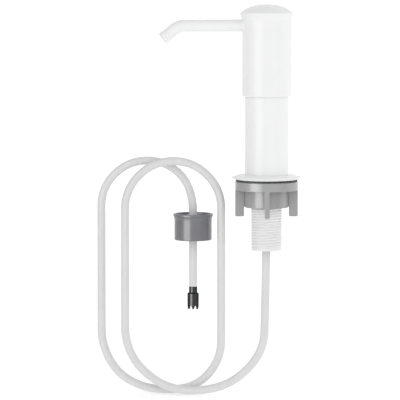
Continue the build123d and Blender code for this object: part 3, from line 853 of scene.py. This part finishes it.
# %% Shape the nut
nut_low, nut_high = mm("mounting_nut")
nut_radius = nut_high[0]
nut_top = nut_high[2]
nut_bore = 12.8
hub_radius = 17.8
hub_bottom = nut_top - 21.3
ring_bottom = nut_top - 7.1
ring_inside = nut_radius - 2.5
web_bottom = nut_top - 3.0
plate_top = nut_top - 1.6       # the plates end inside the web
wing_inside = hub_radius + 0.6
wing_thickness = 4.1
rib_inside = hub_radius - 1.0
rib_outside = hub_radius + 1.4
rib_bottom = hub_bottom + 0.6
rib_thickness = 3.2
wing_count = 4
nut_profile = softened(
    [
        (nut_bore, nut_top, 0.2),
        (nut_radius, nut_top, 0.5),
        (nut_radius, ring_bottom, 0.45),
        (ring_inside, ring_bottom, 0.3),
        (ring_inside, web_bottom, 0.8),
        (hub_radius, web_bottom, 0.8),
        (hub_radius, hub_bottom, 0.55),
        (nut_bore, hub_bottom, 0.4),
    ]
)
wing_corners = [
    (wing_inside, nut_low[2], 1.0),
    (nut_radius, nut_low[2], 1.2),
    (nut_radius, plate_top, 0.2),
    (wing_inside, plate_top, 0.2),
]
rib_corners = [
    (rib_inside, rib_bottom, 0.3),
    (rib_outside, rib_bottom, 0.3),
    (rib_outside, plate_top, 0.2),
    (rib_inside, plate_top, 0.2),
]
nut_grids = [rejoined(turned(nut_profile, columns=192), 0)]
for number in range(wing_count):
    turn = number * 2 * np.pi / wing_count
    for corners, thickness in ((wing_corners, wing_thickness), (rib_corners, rib_thickness)):
        nut_grids.append(rejoined(wing(corners, thickness, turn, nut_radius), 1))
nut = skin("winged_nut", nut_grids, grey_moulding, closed=False)
settle(nut, "nut", "grey_plastic", "mounting_nut")

# %% [markdown]
# ## The bottle cap
# The cap hangs mouth down round the tube and screws onto the bottle's neck. Its rim flares
# out round a sunken top, with a small undercut below it. The thread inside is a helix like the
# shank's, with its ridge turned inwards.

# %% Shape the cap
cap_low, cap_high = mm("bottle_cap")
cap_axis = [1000 * number for number in tube_route[-1][:2]]
cap_top, cap_bottom = cap_high[2], cap_low[2]
cap_radius = 15.45
cap_rim_radius = 16.5
cap_rim_bottom = cap_top - 1.8
neck_radius = 13.9
neck_depth = cap_top - 4.3
cap_thread_low = cap_bottom + 1.2
cap_thread_high = cap_top - 5.4
cap_thread_depth = 0.7
cap_thread_pitch = 4.2
tube_hole = 3.65
hole_collar = 5.2
hole_collar_top = cap_top - 1.2
cap_profile = softened(
    [
        (neck_radius, cap_thread_low, 0),
        (neck_radius, cap_bottom, 0.3),
        (cap_radius, cap_bottom, 0.6),
        (cap_radius, cap_top - 5.4, 1.5),
        (cap_radius + 0.2, cap_top - 3.7, 1.2),
        (cap_radius + 0.6, cap_top - 2.25, 0.3),
        (cap_radius + 0.5, cap_top - 2.0, 0.1),
        (cap_rim_radius, cap_rim_bottom, 0.35),
        (cap_rim_radius, cap_top, 0.6),
        (cap_rim_radius - 1.4, cap_top, 0.5),
        (cap_rim_radius - 2.1, cap_top - 2.1, 0.7),
        (hole_collar + 0.5, cap_top - 2.2, 0.6),
        (hole_collar, hole_collar_top, 0.3),
        (tube_hole, hole_collar_top, 0.3),
        (tube_hole, neck_depth, 0.1),
        (neck_radius, neck_depth, 0.3),
        (neck_radius, cap_thread_high, 0),
    ],
    False,
)
cap_thread = screw(
    cap_thread_low, cap_thread_high, neck_radius, -cap_thread_depth, cap_thread_pitch, steps=20
)
cap_rows = np.concatenate([widened(cap_profile[1:-1]), cap_thread[::-1]])
cap = skin("screw_cap", [turned(cap_rows, cap_axis)], cap_moulding)
settle(cap, "cap", "cap_plastic", "bottle_cap")

# %% [markdown]
# ## The foot valve
# A small chromed valve is pushed into the end of the tube. Its mouth is cut into pointed
# teeth, so that it can't suck itself shut on the bottle's floor. The teeth come from the
# height of the lower rows, which rises and falls six times round the mouth.

# %% Shape the foot valve
valve_low, valve_high = mm("valve_body")
valve_top = valve_high[2] - 9.5
body_bottom = valve_top - 15.8
chamber_top = valve_top - 7.8
valve_radius = 4.65
chamber_radius = 3.3
shoulder = 3.35
passage = 1.4
barb_radius = 2.0
barb_pitch = 3.0
barb = np.array([(barb_radius, 3.0, 0.05), (barb_radius + 0.3, 0.8, 0.05), (barb_radius, 0.8, 0.05)])
barb_rows = np.vstack([barb + (0.0, valve_top + barb_pitch * step, 0.0) for step in (2, 1, 0)])
valve_profile = softened(
    [
        (passage, chamber_top, 0.2),
        (passage, valve_high[2], 0.1),
        (barb_radius, valve_high[2], 0.05),
        *barb_rows,
        (barb_radius, valve_top, 0.05),
        (shoulder, valve_top, 0.3),
        (shoulder, valve_top - 4.9, 0.3),
        (valve_radius, valve_top - 5.9, 0.3),
        (valve_radius, body_bottom, 0.1),
        (valve_radius, body_bottom - 0.5, 0.1),
        (valve_radius, valve_low[2], 0.12),
        (chamber_radius, valve_low[2], 0.12),
        (chamber_radius, body_bottom - 0.5, 0.1),
        (chamber_radius, body_bottom, 0.1),
        (chamber_radius, chamber_top, 0.3),
    ],
    steps=4,
)
valve_columns = 144
notch = 2 * np.pi / 6       # the angle from one notch to the next
notch_half_width = 0.74
tooth_slope = 1.11
notch_depth = 0.985         # as a share of the teeth's height
valve_rows = widened(divided(valve_profile, 0.6), valve_columns)
around = np.linspace(0.0, 2 * np.pi, valve_columns + 1)
from_notch = np.abs((around + notch / 2) % notch - notch / 2) * valve_radius
tooth = np.clip((from_notch - notch_half_width) / tooth_slope, 0.0, 1.0)
below = np.minimum(valve_rows[..., 1] - body_bottom, 0.0)
valve_rows[..., 1] = valve_rows[..., 1] - below * (1 - tooth) * notch_depth
valve = skin("foot_valve", [turned(valve_rows, cap_axis, valve_columns)], dark_chrome)
settle(valve, "base", "dark_chrome", "valve_body")

# %% [markdown]
# ## The tube's finish
# The tube takes the milky hose finish, moves with the base and hides the CAD tube it stands for.

tube_curve.materials.append(milky_hose.material)
settle(suction_tube, "base", "tube_plastic", "supply_tube")

# %% [markdown]
# ## The return spring
# The spring shortens as the head is pressed. Here it is made anew with a mesh of its own, and
# nothing in this script shortens it: a round wire on a helix, whose end turns are nearly flat, as
# a wound spring's are, and whose wire tapers to a point at both ends, which closes it.

# %% Wind the return spring
spring_low, spring_high = mm("return_spring")
spring_height = spring_high[2] - spring_low[2]
spring_wire = 0.55      # the wire's radius
spring_turns = 8
flat_turn = 0.09        # the share of the wire that lies flat at each end
share = np.linspace(0.0, 1.0, 640)[:, None]
climb = np.clip((share - flat_turn) / (1 - 2 * flat_turn), 0.0, 1.0)
climb = climb + flat_turn * (share - climb)
wound = 2 * np.pi * spring_turns * share
around_wire = np.linspace(0.0, 2 * np.pi, 17)[None, :]
taper = spring_wire * np.sqrt(1 - (2 * share - 1) ** 40)
coil_radius = spring_high[0] - spring_wire + taper * np.cos(around_wire)
coil_middle = spring_low[2] + spring_wire + (spring_height - 2 * spring_wire) * climb
coil_height = coil_middle + taper * np.sin(around_wire)
coil = np.stack([coil_radius * np.cos(wound), coil_radius * np.sin(wound), coil_height], axis=-1)
spring = skin("coil_spring", [coil], spring_steel, closed=False)
settle(spring, "base", "spring_steel", "return_spring")
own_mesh(spring)

# %% [markdown]
# ## The pieces inside the pump
# Cylinder, piston, balls and bushes keep the CAD's own shapes, which are exact. They only
# take a finish.

# %% Give the inner pieces their finishes
inner_finishes = {
    "pump_cylinder": natural_moulding,
    "ball_cage": natural_moulding,
    "piston": white_moulding,
    "pump_stem": natural_moulding,
    "guide_bush": white_moulding,
    "collar_gasket": black_rubber,
    "pump_collar": white_moulding,
    "head_insert": natural_moulding,
    "spout_liner": natural_moulding,
    "dip_tube": milky_hose,
    "tube_connector": natural_moulding,
    "cap_liner": liner_foam,
    "valve_seat": black_rubber,
    "inlet_ball": ball_steel,
    "outlet_ball": ball_steel,
    "valve_ball": ball_steel,
}
for name, finish in inner_finishes.items():
    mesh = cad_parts[name].data
    if not mesh.materials:
        mesh.materials.append(finish.material)
    for number in range(len(mesh.materials)):
        mesh.materials[number] = finish.material
print("inner pieces finished:", len(inner_finishes))

# %% [markdown]
# ## Floor and light
# The studio is a white room: a wide white floor that glows a little, and an even white sky. A
# grey card on the left and another above take some light off the pump, which gives the round
# pieces their shape. A dark card on the right and a broad lamp at the front left show only in
# gloss: the card darkens the glossy pieces' right edges, and the lamp gives them their upright
# streak. The camera sees none of these. The gloss doesn't see the floor either, so the low
# pieces reflect the same room as the high ones.

# %% Lay the floor
floor_mesh = bpy.data.meshes.new("studio_floor")
far = 60.0
floor_height = cad_box[0][2] - 0.0002
floor_edge = ((-far, -far), (far, -far), (far, far), (-far, far))
floor_corners = [(*corner, floor_height) for corner in floor_edge]
floor_mesh.from_pydata(floor_corners, [], [(0, 1, 2, 3)])
floor = bpy.data.objects.new("studio_floor", floor_mesh)
bpy.context.collection.objects.link(floor)
floor_white = Finish("floor_white", Roughness=1.0, Specular_IOR_Level=0.0, Emission_Strength=0.5)
floor_white.shader.inputs["Base Color"].default_value = (0.6, 0.6, 0.6, 1.0)
floor_white.shader.inputs["Emission Color"].default_value = (1.0, 1.0, 1.0, 1.0)
floor_mesh.materials.append(floor_white.material)
floor.visible_glossy = False

# %% Stand the cards
def card(name, corners, shade, spread=True):
    """A grey card that the camera can't see. One that doesn't spread shows in gloss alone."""
    mesh = bpy.data.meshes.new(name)
    mesh.from_pydata(corners, [], [(0, 1, 2, 3)])
    made = bpy.data.objects.new(name, mesh)
    bpy.context.collection.objects.link(made)
    paper = Finish(name, Roughness=1.0, Specular_IOR_Level=0.0)
    paper.shader.inputs["Base Color"].default_value = (shade, shade, shade, 1.0)
    mesh.materials.append(paper.material)
    made.visible_camera = False
    made.visible_diffuse = spread


def upright(centre, half_width, low=-0.15, high=1.2):
    """The corners of an upright card that faces the pump."""
    middle = np.array(centre)
    across = np.array([-middle[1], middle[0]]) / np.hypot(*middle) * half_width
    a, b = middle - across, middle + across
    return [(*a, low), (*b, low), (*b, high), (*a, high)]


card("grey_card_left", upright((-1.0, 0.2), 0.42), 0.58)
card("dark_card_right", upright((0.9, -0.45), 0.30), 0.12, spread=False)
ceiling = [(-0.7, -0.7, 1.1), (0.5, -0.7, 1.1), (0.5, 0.7, 1.1), (-0.7, 0.7, 1.1)]
card("grey_card_above", ceiling, 0.45)

# %% Light the room
world = bpy.data.worlds.new("white_room")
world.use_nodes = True
sky = next(n for n in world.node_tree.nodes if n.type == "BACKGROUND")
sky.inputs["Color"].default_value = (1.0, 1.0, 1.0, 1.0)
sky.inputs["Strength"].default_value = 1.09
bpy.context.scene.world = world

lamp_data = bpy.data.lights.new("tall_lamp", "AREA")
lamp_data.shape = "RECTANGLE"
lamp_data.size = 0.66
lamp_data.size_y = 1.1
lamp_data.energy = 11.5
lamp = bpy.data.objects.new("tall_lamp", lamp_data)
bpy.context.collection.objects.link(lamp)
lamp.location = (-0.62, -0.70, 0.0)
lamp.rotation_euler = (-lamp.location).to_track_quat("-Z", "Y").to_euler()
lamp.visible_diffuse = False
lamp.visible_camera = False
bpy.context.scene.view_settings.view_transform = "Standard"
